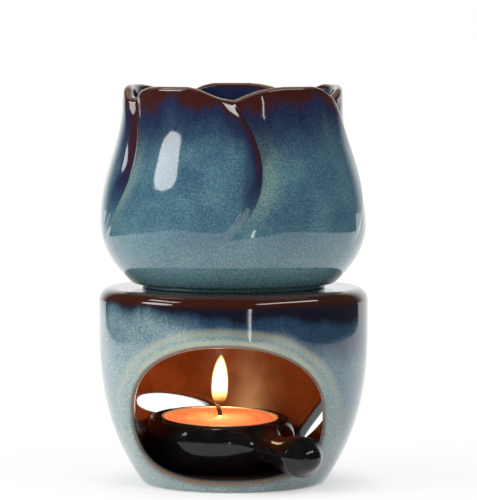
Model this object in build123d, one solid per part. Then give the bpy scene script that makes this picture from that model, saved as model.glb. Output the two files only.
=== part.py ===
from build123d import *
import math
import os

# Essential oil burner: a stoneware stove that holds a tealight on a small ladle, and a tulip-shaped
# oil bowl that stands on the stove. Z is up, the candle opening faces -Y and the origin is on the
# surface that the stove stands on, at the middle of its foot. Sizes are in millimetres, and each
# piece takes its size from the piece that it holds.

# Tealight: aluminium cup, wax, wick and the wick's metal foot
cup_radius = 19.0
cup_height = 13.2
cup_wall = 0.4
cup_bead = 0.4
wax_drop = 0.6
wick_radius = 0.8
wick_stand = 4.6
sustainer_radius = 6.0
sustainer_thickness = 0.4
sustainer_collar_radius = 1.5
sustainer_collar_height = 3.0

# Candle ladle: a thick turned dish with a stub handle, tipped towards its handle
dish_well_clearance = 0.8
dish_well_depth = 12.8
dish_bottom = 3.2
dish_wall = 4.6
dish_mouth_flare = 1.6
dish_lip = 1.3
dish_belly_drop = 4.6
dish_round_radius = 160.0
dish_heel_draw = 4.8
dish_flank_draw = 1.2
dish_flank_height = 4.4
dish_back = 4.6
dish_left = 5.0
ladle_pitch = 3.5
ladle_roll = 1.2
ladle_gap = 0.3
handle_turn = 39.0
handle_reach = 27.8
handle_height = 10.2
neck_width = 11.6
neck_thickness = 9.4
knob_width = 12.6
knob_length = 14.0
knob_thickness = 10.6

# Stove base, turned about Z
base_height = 64.0
stove_room = 13.8
base_wall = 5.5
base_foot_draw = 14.3
base_belly_height = 54.0
base_fullness = 2.7
base_floor = 4.0
base_roof = 6.0
base_top_rounding = 4.2
base_foot_rounding = 1.2
foot_ring_width = 7.0
foot_recess = 1.5
floor_rounding = 5.0
roof_rounding = 8.0
heat_hole_rounding = 2.0

# Candle opening in the front of the stove
opening_width = 59.6
opening_height = 43.4
opening_sill = 4.2
opening_top_fullness = 2.25
opening_bottom_fullness = 2.8
opening_rounding = 2.2

# Two slanted air slits at the back, turned from the middle of the back to each side
slit_length = 31.0
slit_width = 6.6
slit_height = 22.5
left_slit_turn = 41.0
left_slit_slant = 8.0
right_slit_turn = 54.2
right_slit_slant = 52.0

# Oil bowl with five overlapping petals
bowl_height = 65.6
bowl_set_in = 0.5
bowl_belly = 23.0
bowl_waist_draw = 7.2
bowl_waist = 61.0
bowl_heel_draw = 12.2
bowl_fullness = 2.4
bowl_foot_draw = 1.0
bowl_foot_width = 5.0
bowl_foot_ledge = 5.0
bowl_foot_depth = 1.6
bowl_bottom = 4.6
bowl_wall = 3.2
bowl_floor_rounding = 5.0
petal_count = 5
petal_turn = -31.2
petal_reach = 49.1
petal_bend = 12.5
petal_bend_height = 40.0
petal_bend_span = 19.7
petal_tuck = 2.4
petal_tuck_start = 0.35
petal_tuck_low = 13.0
petal_tuck_high = 27.0
notch_depth = 4.3
notch_turn = 0.5

# One overrun for every cut
overrun = 10.0

# Shares, chosen by eye
profile_height_shares = (0.08, 0.18, 0.3, 0.45, 0.62, 0.8, 1.0)
bowl_section_shares = (0.0, 0.06, 0.14, 0.24, 0.36, 0.5, 0.64, 0.78, 0.9, 1.0)
hollow_section_shares = (0.0, 0.015, 0.045, 0.11, 0.2, 0.33, 0.48, 0.63, 0.78, 0.9, 1.0)
petal_width_shares = (0.0, 0.12, 0.24, 0.38, 0.55, 0.72, 0.88, 1.0)
tuck_width_share = 0.45
edge_width_share = 0.22
notch_shares = ((-0.42, -0.25), (-0.34, 0.0), (-0.26, 0.17), (-0.165, 0.58), (-0.09, 0.85), (0.0, 1.0),
                (0.09, 0.62), (0.18, 0.29), (0.29, 0.08), (0.38, -0.04), (0.46, -0.25))
outline_steps = 28

# Sizes that follow from the ones above
dish_well_radius = cup_radius + dish_well_clearance
dish_mouth_radius = dish_well_radius + dish_mouth_flare
dish_radius = dish_well_radius + dish_wall
dish_height = dish_bottom + dish_well_depth
dish_belly = dish_height - dish_belly_drop
base_radius = dish_radius + stove_room + base_wall
base_foot_radius = base_radius - base_foot_draw
bowl_radius = base_radius - bowl_set_in
bowl_waist_radius = bowl_radius - bowl_waist_draw
bowl_heel_radius = bowl_radius - bowl_heel_draw
bowl_foot_radius = bowl_heel_radius - bowl_foot_draw
heat_hole_radius = bowl_foot_radius - bowl_foot_width - bowl_foot_ledge
petal_span = 360.0 / petal_count
bowl_base = base_height
bowl_top = bowl_base + bowl_height
on_floor = (Align.CENTER, Align.CENTER, Align.MIN)


def base_radius_at(height):
    """Outer radius of the stove at a height above its foot."""
    below = max(0.0, 1 - height / base_belly_height)
    return base_radius - (base_radius - base_foot_radius) * below ** base_fullness


def base_outline(inset, bottom, top):
    """Side line of the stove, moved inwards by inset, between two heights."""
    heights = [bottom] + [bottom + (top - bottom) * share for share in profile_height_shares]
    return [(base_radius_at(height) - inset, height) for height in heights]


def turned(side_points, bottom, top):
    """Solid of revolution under a side line, closed flat at both heights."""
    side = Spline(*side_points)
    start = side_points[0]
    end = side_points[-1]
    edges = [Line((0, bottom), start), side, Line(end, (0, top)), Line((0, top), (0, bottom))]
    return revolve(make_face(Plane.XZ * Curve(edges)), Axis.Z)


def edges_at(solid, height, radius, slack):
    """Round edges of a turned solid at a height and radius."""
    found = []
    for edge in solid.edges().filter_by(GeomType.CIRCLE):
        level = abs(edge.arc_center.Z - height) < slack
        if level and abs(edge.radius - radius) < slack:
            found.append(edge)
    return found


def opening_outline():
    """Points of the candle opening round its middle, fuller below than above."""
    points = []
    for step in range(outline_steps):
        angle = 2 * math.pi * step / outline_steps
        fullness = opening_top_fullness if math.sin(angle) > 0 else opening_bottom_fullness
        across = math.copysign(abs(math.cos(angle)) ** (2 / fullness), math.cos(angle))
        up = math.copysign(abs(math.sin(angle)) ** (2 / fullness), math.sin(angle))
        points.append((across * opening_width / 2, up * opening_height / 2))
    return points


def make_base():
    outer = turned(base_outline(0, 0, base_height), 0, base_height)
    outer = fillet(edges_at(outer, base_height, base_radius, base_wall / 2), base_top_rounding)
    outer = fillet(edges_at(outer, 0, base_foot_radius, base_wall / 2), base_foot_rounding)

    ceiling = base_height - base_roof
    inner = turned(base_outline(base_wall, base_floor, ceiling), base_floor, ceiling)
    floor_radius = base_radius_at(base_floor) - base_wall
    ceiling_radius = base_radius_at(ceiling) - base_wall
    inner = fillet(edges_at(inner, base_floor, floor_radius, base_wall / 2), floor_rounding)
    inner = fillet(edges_at(inner, ceiling, ceiling_radius, base_wall / 2), roof_rounding)
    base = outer - inner

    base -= Pos(0, 0, ceiling - overrun) * Cylinder(heat_hole_radius, base_roof + 2 * overrun, align=on_floor)
    for level in (base_height, ceiling):
        base = fillet(edges_at(base, level, heat_hole_radius, heat_hole_rounding / 2), heat_hole_rounding)

    recess_radius = base_foot_radius - foot_ring_width
    base -= Cylinder(recess_radius, foot_recess, align=on_floor)

    opening_middle = opening_sill + opening_height / 2
    opening = make_face(Spline(*opening_outline(), periodic=True))
    front = Plane((0, 0, opening_middle), x_dir=(1, 0, 0), z_dir=(0, -1, 0))
    base -= extrude(front * opening, base_radius + overrun)
    front_edges = base.edges().filter_by(lambda edge: edge.center().Y < -base_foot_radius / 2)
    base = fillet(front_edges.sort_by(SortBy.LENGTH)[-1], opening_rounding)

    for turn, slant in ((left_slit_turn, left_slit_slant), (-right_slit_turn, -right_slit_slant)):
        slit = Rot(0, 0, slant) * Ellipse(slit_length / 2, slit_width / 2)
        back = Plane((0, 0, slit_height), x_dir=(1, 0, 0), z_dir=(0, 1, 0))
        base -= Rot(0, 0, turn) * extrude(back * slit, base_radius + overrun)
    return base


def bowl_radius_at(height):
    """Outer radius of the bowl, without its petals, at a height above its foot."""
    if height < bowl_belly:
        below = max(0.0, 1 - height / bowl_belly)
        return bowl_radius - (bowl_radius - bowl_heel_radius) * below ** bowl_fullness
    rise = min(1.0, (height - bowl_belly) / (bowl_waist - bowl_belly))
    swell = (1 + math.cos(math.pi * rise)) / 2
    return bowl_waist_radius + (bowl_radius - bowl_waist_radius) * swell


def petal_tuck_at(height):
    """How far a petal's left side lies under its neighbour at a height above the foot."""
    rise = (height - petal_tuck_low) / (petal_tuck_high - petal_tuck_low)
    rise = min(1.0, max(0.0, rise))
    ease = rise * rise * (3 - 2 * rise)
    return petal_tuck_start + (petal_tuck - petal_tuck_start) * ease


def petal_edge_at(height):
    """Turn in degrees from a petal's middle to its right edge at a height above the foot."""
    away = (height - petal_bend_height) / petal_bend_span
    return petal_reach - petal_bend * away * away


def petal_point(petal, share, radius, height):
    """Point of a petal at a share of its width, on a given radius."""
    turn = petal_turn + petal_span * (petal - 1 + share) + petal_edge_at(height)
    angle = math.radians(turn)
    return Vector(radius * math.sin(angle), -radius * math.cos(angle), bowl_base + height)


def outer_section(height):
    """Outline of the bowl with the step of each petal's edge, at a height above the foot."""
    edges = []
    for petal in range(petal_count):
        points = []
        for share in petal_width_shares:
            under = max(0.0, 1 - share / tuck_width_share)
            radius = bowl_radius_at(height) - petal_tuck_at(height) * under * under
            points.append(petal_point(petal, share, radius, height))
        edges.append(Spline(*points))
        tucked = bowl_radius_at(height) - petal_tuck_at(height)
        edges.append(Line(points[-1], petal_point(petal + 1, 0.0, tucked, height)))
    return Wire([edge.edge() for edge in edges])


def inner_section(height):
    """Outline of the bowl's hollow at a height above the foot, drawn in behind each petal's edge."""
    low = max(0.0, 1 - (height - bowl_foot_depth - bowl_bottom) / bowl_floor_rounding)
    corner = bowl_floor_rounding * (1 - math.sqrt(1 - low * low))
    edges = []
    for petal in range(petal_count):
        points = []
        for share in petal_width_shares:
            after = max(0.0, 1 - share / tuck_width_share)
            before = max(0.0, 1 - (1 - share) / edge_width_share)
            drawn = petal_tuck_at(height) * max(after * after, before * before)
            radius = bowl_radius_at(height) - bowl_wall - corner - drawn
            points.append(petal_point(petal, share, radius, height))
        edges.append(Spline(*points))
    return Wire([edge.edge() for edge in edges])


def rim_notch(petal):
    """Cutter for the dip in the rim where a petal tucks under its neighbour."""
    def across(share):
        return bowl_waist_radius * math.sin(math.radians(share * petal_span))

    dip = Spline(*[(across(share), -notch_depth * depth) for share, depth in notch_shares])
    left = dip @ 0
    right = dip @ 1
    lid = Polyline((right.X, right.Y), (right.X, overrun), (left.X, overrun), (left.X, left.Y))
    turn = petal_turn + petal_span * petal + petal_edge_at(bowl_height - notch_depth) + notch_turn
    side = Plane((0, -bowl_waist_radius / 2, bowl_top), x_dir=(1, 0, 0), z_dir=(0, -1, 0))
    return Rot(0, 0, turn) * extrude(side * make_face(Curve([dip, lid])), bowl_radius)


def make_bowl():
    heights = [bowl_foot_depth + (bowl_height - bowl_foot_depth) * share for share in bowl_section_shares]
    bowl = Solid.make_loft([outer_section(height) for height in heights])
    for petal in range(petal_count):
        bowl -= rim_notch(petal)

    hollow_floor = bowl_foot_depth + bowl_bottom
    heights = [hollow_floor + (bowl_height - hollow_floor) * share for share in hollow_section_shares]
    heights.append(bowl_height + overrun)
    bowl -= Solid.make_loft([inner_section(height) for height in heights])

    foot = Cylinder(bowl_foot_radius, bowl_foot_depth + bowl_bottom / 2, align=on_floor)
    foot -= Cylinder(bowl_foot_radius - bowl_foot_width, bowl_foot_depth, align=on_floor)
    return bowl + Pos(0, 0, bowl_base) * foot


def make_dish():
    """Thick round-bottomed dish with a well for the tealight, standing on its lowest point."""
    heel = dish_radius - dish_heel_draw
    sag = dish_round_radius - math.sqrt(dish_round_radius ** 2 - heel ** 2)
    middle_sag = dish_round_radius - math.sqrt(dish_round_radius ** 2 - heel ** 2 / 4)
    under = ThreePointArc((0, 0), (heel / 2, middle_sag), (heel, sag))
    flank = (dish_radius - dish_flank_draw, dish_flank_height)
    lip = (dish_mouth_radius + dish_lip, dish_height)
    side = Spline((heel, sag), flank, (dish_radius, dish_belly), lip)
    well_top = (dish_well_radius, dish_belly)
    mouth = Spline(lip, (dish_mouth_radius, dish_height - dish_lip), well_top)
    well = Polyline(well_top, (dish_well_radius, dish_bottom), (0, dish_bottom), (0, 0))
    return revolve(Plane.XZ * make_face(Curve([under, side, mouth, well])), Axis.Z)


def make_handle():
    """Handle along +X, from inside the dish's wall through a thick neck to a round knob."""
    start = dish_well_radius + dish_lip
    knob_middle = dish_radius + handle_reach - knob_length / 2
    across = Plane((start, 0, handle_height), x_dir=(0, 1, 0), z_dir=(1, 0, 0))
    neck = extrude(across * Ellipse(neck_width / 2, neck_thickness / 2), knob_middle - start)
    knob = scale(Sphere(1), by=(knob_length / 2, knob_width / 2, knob_thickness / 2))
    return neck + Pos(knob_middle, 0, handle_height) * knob


def ladle_place():
    """Where the ladle stands: tipped on its round underside, just clear of the stove's floor."""
    level = math.cos(math.radians(ladle_pitch)) * math.cos(math.radians(ladle_roll))
    rise = dish_round_radius * (1 - level)
    return Pos(-dish_left, dish_back, base_floor + ladle_gap + rise) * Rot(ladle_pitch, ladle_roll, 0)


def make_ladle():
    ladle = make_dish() + Rot(0, 0, handle_turn - 90) * make_handle()
    return ladle_place() * ladle


def make_tealight():
    """Cup, wax, wick and wick foot, standing in the dish's well."""
    outer = Cylinder(cup_radius, cup_height, align=on_floor)
    cup = outer - Pos(0, 0, cup_wall) * Cylinder(cup_radius - cup_wall, cup_height, align=on_floor)
    cup += Pos(0, 0, cup_height) * Torus(cup_radius, cup_bead)
    wax_height = cup_height - wax_drop - cup_wall
    wax = Pos(0, 0, cup_wall) * Cylinder(cup_radius - cup_wall, wax_height, align=on_floor)
    sustainer = Pos(0, 0, cup_wall) * Cylinder(sustainer_radius, sustainer_thickness, align=on_floor)
    sustainer += Pos(0, 0, cup_wall) * Cylinder(sustainer_collar_radius, sustainer_collar_height, align=on_floor)
    wick_foot = cup_wall + sustainer_thickness
    wick_length = wax_height + cup_wall + wick_stand - wick_foot
    wick = Pos(0, 0, wick_foot) * Cylinder(wick_radius, wick_length, align=on_floor)
    sustainer -= wick
    wax -= sustainer + wick
    place = ladle_place() * Pos(0, 0, dish_bottom)
    return {"tealight_cup": place * cup, "tealight_wax": place * wax,
            "wick": place * wick, "wick_sustainer": place * sustainer}


if __name__ == "__main__":
    os.makedirs("parts", exist_ok=True)
    nodes = {"stove_base": make_base(), "oil_bowl": make_bowl(), "candle_ladle": make_ladle()}
    nodes.update(make_tealight())
    for name, solid in nodes.items():
        export_step(solid, f"parts/{name}.step")
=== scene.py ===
import math

import bmesh
import bpy
import numpy as np
from bpy.props import FloatProperty, FloatVectorProperty, IntProperty, PointerProperty
from bpy.types import Operator, Panel, PropertyGroup
from mathutils import Matrix, Vector


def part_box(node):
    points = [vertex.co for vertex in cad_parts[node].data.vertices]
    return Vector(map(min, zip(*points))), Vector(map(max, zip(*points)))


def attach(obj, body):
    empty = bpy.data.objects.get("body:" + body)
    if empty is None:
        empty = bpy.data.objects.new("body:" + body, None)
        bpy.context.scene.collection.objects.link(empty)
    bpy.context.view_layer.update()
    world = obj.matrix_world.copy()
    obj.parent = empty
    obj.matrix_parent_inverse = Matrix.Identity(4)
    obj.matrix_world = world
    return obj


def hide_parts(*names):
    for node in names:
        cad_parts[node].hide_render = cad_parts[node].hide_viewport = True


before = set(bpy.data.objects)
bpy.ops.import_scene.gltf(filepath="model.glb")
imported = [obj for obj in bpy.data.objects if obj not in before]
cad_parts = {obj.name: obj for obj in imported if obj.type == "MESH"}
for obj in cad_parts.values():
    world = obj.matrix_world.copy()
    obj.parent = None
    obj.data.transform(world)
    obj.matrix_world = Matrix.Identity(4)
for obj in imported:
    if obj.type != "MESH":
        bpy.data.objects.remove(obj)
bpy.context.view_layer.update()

bl_info = {
    "name": "Essential oil burner",
    "version": (1, 0, 0),
    "blender": (4, 5, 0),
    "location": "View3D > Sidebar > Oil burner",
    "description": "Builds a glazed stoneware oil burner round its CAD parts",
    "category": "Object",
}

# Fullness of an oval without squared corners
PLAIN_OVAL = 2.0

# Stove, in metres
STOVE_LOW, STOVE_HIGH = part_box("stove_base")
STOVE_HEIGHT = STOVE_HIGH.z
STOVE_RADIUS = STOVE_HIGH.x
STOVE_FOOT_RADIUS = 0.0294
STOVE_BELLY_HEIGHT = 0.054
STOVE_FULLNESS = 2.7
STOVE_FLOOR = 0.004
STOVE_ROOF = 0.006
STOVE_FOOT_ROUNDING = 0.0012
FOOT_RING_WIDTH = 0.007
FOOT_RECESS = 0.0015
CAVITY_FLOOR_ROUNDING = 0.005
CAVITY_ROOF_ROUNDING = 0.008
HEAT_HOLE_RADIUS = 0.020
HEAT_HOLE_ROUNDING = 0.002
OPENING_WIDTH = 0.0602
OPENING_HEIGHT = 0.0434
OPENING_SILL = 0.0042
OPENING_TOP_FULLNESS = 2.25
OPENING_BOTTOM_FULLNESS = 2.8
SLIT_LENGTH = 0.031
SLIT_WIDTH = 0.0066
SLIT_HEIGHT = 0.0225
SLIT_ROUNDING = 0.0012
SLIT_TURNS = (math.radians(41.0), math.radians(-54.2))
SLIT_SLANTS = (math.radians(8.0), math.radians(-52.0))

# Bowl
BOWL_BASE = STOVE_HEIGHT
BOWL_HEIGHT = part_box("oil_bowl")[1].z - BOWL_BASE
BOWL_RADIUS = 0.0432
BOWL_BELLY = 0.023
BOWL_WAIST_RADIUS = 0.036
BOWL_WAIST = 0.061
BOWL_HEEL_RADIUS = 0.031
BOWL_FULLNESS = 2.4
BOWL_FOOT_RADIUS = 0.030
BOWL_FOOT_WIDTH = 0.005
BOWL_FOOT_DEPTH = 0.0016
BOWL_BOTTOM = 0.0046
BOWL_FLOOR_ROUNDING = 0.005
PETAL_TURN = math.radians(-31.2)
PETAL_REACH = math.radians(49.1)
PETAL_BEND = math.radians(12.5)
PETAL_BEND_HEIGHT = 0.040
PETAL_BEND_SPAN = 0.0197
PETAL_TUCK_LOW = 0.012
PETAL_TUCK_HIGH = 0.040
TUCK_WIDTH_SHARE = 0.45
EDGE_WIDTH_SHARE = 0.22
NOTCH_TURN = math.radians(0.5)
NOTCH_PLACE_SHARES = (-0.42, -0.34, -0.26, -0.165, -0.09, 0.0, 0.09, 0.18, 0.29, 0.38, 0.46)
NOTCH_DEPTH_SHARES = (0.0, 0.0, 0.17, 0.58, 0.85, 1.0, 0.62, 0.29, 0.08, 0.0, 0.0)
NOTCH_STEPS = 401
NOTCH_SOFTENING = 12
RIM_PASSES = 12

# Mesh of the bowl; crowding draws its columns and rows together towards an edge
PETAL_LEFT_SHARE = 0.07
PETAL_MIDDLE_SHARES = (0.09, 0.91)
PETAL_RIGHT_SHARE = 0.92
PETAL_COLUMNS = (9, 40, 20)
CROWDING = 1.6
BOWL_ROWS = {"recess": 8, "foot": 5, "side": 130, "lip": 15, "hollow": 70, "floor": 9}

# Ladle
DISH_RADIUS = 0.0244
DISH_HEIGHT = 0.016
DISH_BELLY = 0.0114
DISH_ROUND_RADIUS = 0.160
DISH_HEEL_RADIUS = 0.0196
DISH_FLANK_RADIUS = 0.0232
DISH_FLANK_HEIGHT = 0.0044
DISH_WELL_RADIUS = 0.0198
DISH_WELL_DEPTH = 0.0128
DISH_LIP = 0.0013
DISH_MOUTH_RADIUS = 0.0214
DISH_PLACE = (-0.0050, 0.0046)
DISH_STEPS = 8
LADLE_PITCH = math.radians(3.5)
LADLE_ROLL = math.radians(1.2)
LADLE_GAP = 0.0003
HANDLE_TURN = math.radians(39.0)
HANDLE_REACH = 0.0522
HANDLE_HEIGHT = 0.0102
NECK_WIDTH = 0.0120
NECK_THICKNESS = 0.0098
KNOB_WIDTH = 0.0126
KNOB_LENGTH = 0.0140
KNOB_THICKNESS = 0.0106

# Tealight
CUP_RADIUS = 0.019
CUP_HEIGHT = 0.0132
CUP_WALL = 0.0004
CUP_HEEL = 0.0008
CUP_HEEL_MIDDLE = (0.0003, 0.0002)
CUP_FLAT_SHARE = 0.5
CUP_CORNER = 0.0004
FLUTES_START = 0.0015
FLUTES_END = 0.0044
WAX_DROP = 0.0006
WAX_DIP_SHARES = (0.75, 0.25)
WAX_WET_SHARES = (0.9, 0.3)
WICK_RADIUS = 0.0008
WICK_STAND = 0.0046
WICK_FOOT = 0.0008
WICK_LEAN = 0.0009
WICK_TWIST = 5.5
STRAND_SHARE = 0.56
TIP_SHARE = 0.1
TIP_TAPER_SHARE = 0.35

# Meshes of the tealight; a triple gives the first row, the last row and how many there are
FLUTE_ROWS = (0.0016, CUP_HEIGHT - 0.0045, 8)
PLAIN_ROWS = (CUP_HEIGHT - 0.0032, CUP_HEIGHT - 0.0012)
BEAD_ROWS = (0.15, 1.5 * math.pi, 9)
HOLLOW_ROWS = (CUP_HEIGHT - CUP_HEEL, 2 * CUP_WALL, 4)
WAX_FILM_SHARES = (0.995, 0.94, 6)
WAX_POOL_SHARES = (0.92, 0.0, 36)
WAX_SECTORS = 96
WICK_ROWS = 60
WICK_COLUMNS = 11
SECTOR_COLUMNS = 5

# Flame
FLAME_BULGE_SHARE = 0.3
FLAME_HEART_SHARE = 0.86
FLAME_FULLNESS = 2.4
FLAME_TAPER = 0.8
FLAME_SHIFT = -0.0003
FLAME_LEAN = 0.0006
FLAME_ROWS = 48
FLAME_COLUMNS = 33

# Patterns in the materials, in metres
SPECKLE_SIZE = 0.0006
REVEAL_SPECKLE_SIZE = 0.0008
WAVE_SIZE = 0.018
WAVE_DEPTH = 0.00018
PIT_SIZE = 0.0022
PIT_DEPTH = 0.000018
SHEEN_SIZE = 0.004
BOWL_DRIP_SIZE = 0.006
BOWL_CLOUD_SIZE = 0.011
STOVE_DRIP_SIZE = 0.013
STOVE_CLOUD_SIZE = 0.014
SMOKE_SIZE = 0.012
THIN_GLAZE_SIZE = 0.006
LADLE_SHEEN_SIZE = 0.003
DRAWN_MARK_SIZE = 0.0012
DRAWN_MARK_DEPTH = 0.000004
TINNED_MARK_SIZE = 0.0009
TINNED_MARK_DEPTH = 0.00002
WAX_CLOUD_SIZE = 0.005
WAX_CLOUD_DEPTH = 0.00006
WAX_LIGHT_REACH = 0.004
ASH_SIZE = 0.0006
ASH_DEPTH = 0.00008
FLICKER_SIZE = 0.003
FLOOR_CLOUD_SIZE = 0.05

# How a pattern is drawn out, which part of its range counts and how strongly it shows
DRAWN_OUT = (1.0, 1.0, 0.35)
MARKS_DRAWN_OUT = (1.0, 1.0, 0.12)
MIDDLE_SHARES = (0.3, 0.7)
SPECKLE_SHARE = 0.9
DARK_GRAIN_SHARES = (0.52, 0.36)
PALE_GRAIN_SHARES = (0.52, 0.68)
BOWL_CLOUD_SHARES = (0.30, 0.78)
STOVE_CLOUD_SHARES = (0.38, 0.72)
THIN_GLAZE_SHARES = (0.45, 0.75)
ASH_SHARES = (0.45, 0.75)
WET_SHARES = (0.4, 1.6)
GLOW_SHARES = (0.55, 1.0)
FLICKER_SHARE = 0.1
FLAME_TONE_SHARES = (0.08, 0.50)
HEART_CLEAR_SHARES = (0.02, 0.34)
MANTLE_CLEAR_SHARES = (0.10, 1.6)
HEART_GLOW = 3.2
MANTLE_GLOW = 1.2
TIP_GLOW = 0.4

# Tones of the bowl's glaze in metres, each from where it starts to where it is full
RIM_WANDER = 0.016
EDGE_WANDER = 0.005
LOW_HEIGHT = (0.026, 0.004)
VALLEY_WIDTH = (0.0090, 0.0010)
VALLEY_HEIGHT = (0.016, 0.032)
SHADE_DROP = (0.026, 0.006)
SHADE_WIDTH = (0.0085, 0.0022)
SHADE_HEIGHT = (0.021, 0.036)
BROWN_WIDTH = (0.0038, 0.0010)
BROWN_HEIGHT = (0.030, 0.046)
BROWN_DROP = (0.0075, 0.0025)
HOLLOW_DROP = (0.030, 0.012)
HOLLOW_SHARES = (0.6, 0.9)
LIP_DROP = (0.0009, 0.0002)

# Tones of the stove's glaze and of its painted shade in metres, each from where it starts to where it is
# full
STOVE_WANDER = 0.015
# Painted shade: how far the blue band and the dark shoulder drop for each metre to the right
BAND_RIGHT_SHADE_SLOPE = 0.20
SHOULDER_RIGHT_SHADE_SLOPE = 0.07
SHOULDER_WANDER_SHARE = 0.6
TOP_WANDER_SHARE = 0.12
RING_WANDER_SHARE = 0.08
# Painted shade: the side turns bluer and darker towards the right
RIGHT_SHADE_ACROSS = (-0.004, 0.036)
BAND_HEIGHT = (0.0460, 0.0555)
SHOULDER_HEIGHT = (0.0550, 0.0586)
BROWN_TOP_HEIGHT = (0.0590, 0.0618)
OUTER_RING_START = (0.0028, 0.0044)
OUTER_RING_END = (0.0072, 0.0050)
OUTER_RING_HEIGHT = (0.020, 0.046)
MARGIN_START = (-0.001, 0.0008)
MARGIN_END = (0.0048, 0.0032)
INNER_RING_START = (0.0004, 0.0012)
INNER_RING_END = (0.0036, 0.0020)
INNER_RING_HEIGHT = (0.028, 0.044)
INNER_RING_CLOUD_SHARES = (0.35, 0.60)
SILL_WIDTH = (0.0030, 0.0006)
SILL_HEIGHT = (0.016, 0.005)
ARRIS_PLACE = 0.0002
ARRIS_WIDTH = (0.0010, 0.0003)
ARRIS_DEPTH = (0.0026, 0.0014)
REVEAL_DEPTH = (0.0006, 0.0022)
AMBER_DEPTH = (0.0032, 0.0048)
DULL_DEPTH = (0.0036, 0.0052)
# Painted shade: the inside of the stove darkens towards its floor
PAINTED_FLOOR_SHADE_HEIGHT = (0.022, 0.003)

# Second tones of the materials
WHITE = (1.0, 1.0, 1.0)
BLACK = (0.0, 0.0, 0.0)
DARK_GRAIN = (0.42, 0.60, 0.80)
PALE_GRAIN = (2.1, 1.55, 1.25)
DULL_ALUMINIUM = (0.72, 0.72, 0.73)
DARK_STEEL = (0.45, 0.45, 0.46)
PALE_STEEL = (0.60, 0.59, 0.58)
CLOUDY_WAX = (0.94, 0.44, 0.32)
MELTED_WAX = (0.98, 0.52, 0.38)
WAX_LIGHT_SHARES = (1.0, 0.45, 0.2)
ASH = (0.07, 0.055, 0.045)
GLOWING_TIP = (1.0, 0.22, 0.04)
FLAME_TOP = (1.0, 0.62, 0.18)

# Lamps, each with its direction from the burner, its distance and the size of its face
LAMPS = {
    "left_softbox": ((-0.86, -0.34, 0.455), 0.9, (0.50, 0.21)),
    "left_wash": ((-0.80, -0.50, 0.35), 1.2, (0.60, 0.60)),
    "right_wash": ((0.70, -0.70, 0.35), 1.2, (0.60, 0.60)),
    "right_softbox": ((0.60, -0.30, 0.74), 1.0, (0.95, 0.13)),
    "top_softbox": ((-0.66, -0.16, 0.74), 1.0, (0.50, 0.12)),
    "front_strip": ((0.30, -0.95, -0.04), 1.0, (0.035, 0.24)),
}

# Floor, which turns white away from the burner's shadow
FLOOR_REACH = 3.0
FLOOR_NEAR = (0.032, 0.056)
FLOOR_NEAR_SHARES = (0.45, 0.84)
FLOOR_FAR = (0.056, 0.20)
FLOOR_FAR_SHARES = (0.0, 0.16)
FLOOR_CLOUD_SHARE = 0.985

# How far back a reflection points where the white behind the burner starts and is full
WHITE_BACK_SHARES = (0.70, 0.94)

# Nearest point that the camera sees
CAMERA_NEAR = 0.01


def length(name, description, default):
    return FloatProperty(name=name, description=description, default=default, unit="LENGTH", precision=4)


def amount(name, description, default):
    return FloatProperty(name=name, description=description, default=default)


def number_of(name, description, default, low, high):
    return IntProperty(name=name, description=description, default=default, min=low, max=high)


def angle_of(name, description, degrees):
    default = math.radians(degrees)
    return FloatProperty(name=name, description=description, default=default, unit="ROTATION")


def colour(name, description, default):
    return FloatVectorProperty(name=name, description=description, default=default,
                               size=3, subtype="COLOR")


class StoveSettings(PropertyGroup):
    """Sizes and colours of the stove: its glazes, and the painted shade towards its floor."""
    wall: length("Wall", "Thickness of the stove's wall", 0.0055)
    top_rounding: length("Top rounding", "Radius of the top edge", 0.0042)
    opening_rounding: length("Opening rounding", "Radius of the opening's edge", 0.0022)
    cell: length("Cell", "Size of the cells that the surface is drawn in", 0.0007)
    rim: colour("Rim", "Thin glaze on the top edge", (0.034, 0.0070, 0.0022))
    shoulder: colour("Shoulder", "Dark glaze band under the top edge", (0.0050, 0.0050, 0.0130))
    band: colour("Band", "Blue glaze between the shoulder and the side", (0.015, 0.042, 0.078))
    side: colour("Side", "Pale glaze on the side", (0.19, 0.28, 0.29))
    # Also laid over the right side as painted shade
    side_blue: colour("Side blue", "Bluer patches of the side", (0.080, 0.150, 0.185))
    halo: colour("Halo", "Tan ring round the opening", (0.36, 0.37, 0.27))
    margin: colour("Margin", "Light blue glaze beside the opening", (0.20, 0.29, 0.28))
    edge: colour("Edge", "Bare line on the opening's edge", (0.18, 0.11, 0.070))
    sill: colour("Sill", "Brown glaze on the front edge of the sill", (0.085, 0.060, 0.045))
    reveal: colour("Reveal", "Glaze on the opening's thickness", (0.045, 0.085, 0.11))
    inside: colour("Inside", "Glaze inside the stove", (0.20, 0.062, 0.018))
    soot: colour("Soot", "Darker patches inside the stove", (0.12, 0.033, 0.009))
    # Painted shade that darkens the inside towards the stove's floor
    painted_floor_shade: colour("Ember", "Dark glaze on the stove's floor", (0.022, 0.012, 0.010))


class BowlSettings(PropertyGroup):
    """Sizes and glaze colours of the bowl."""
    petals: number_of("Petals", "Number of petals", 5, 3, 9)
    wall: length("Wall", "Thickness of the bowl's wall", 0.0032)
    tuck: length("Tuck", "How far a petal lies under its neighbour", 0.0024)
    roll: length("Roll", "Width of the rounding of a petal's edge", 0.0042)
    notch_depth: length("Notch depth", "Depth of the dips between the petals", 0.0043)
    lean: angle_of("Lean", "Inward lean of the outside just below the lip", 7.0)
    lean_start: length("Lean start", "From the rim down to where the lean begins", 0.0062)
    lean_blend: length("Lean blend", "Height over which the lean comes in", 0.0030)
    lip: colour("Lip", "Glaze that has run thin on the lip", (0.26, 0.18, 0.13))
    rim: colour("Rim", "Brown glaze near the rim", (0.038, 0.0078, 0.0055))
    shade: colour("Shade", "Dark blue glaze below the rim", (0.011, 0.018, 0.052))
    body: colour("Body", "Blue-green glaze of the petals", (0.041, 0.098, 0.142))
    pale: colour("Pale", "Paler patches of the petals", (0.070, 0.155, 0.190))
    valley: colour("Valley", "Glaze that has pooled between the petals", (0.15, 0.24, 0.22))
    low: colour("Low", "Greener glaze near the foot", (0.125, 0.245, 0.255))


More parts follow.
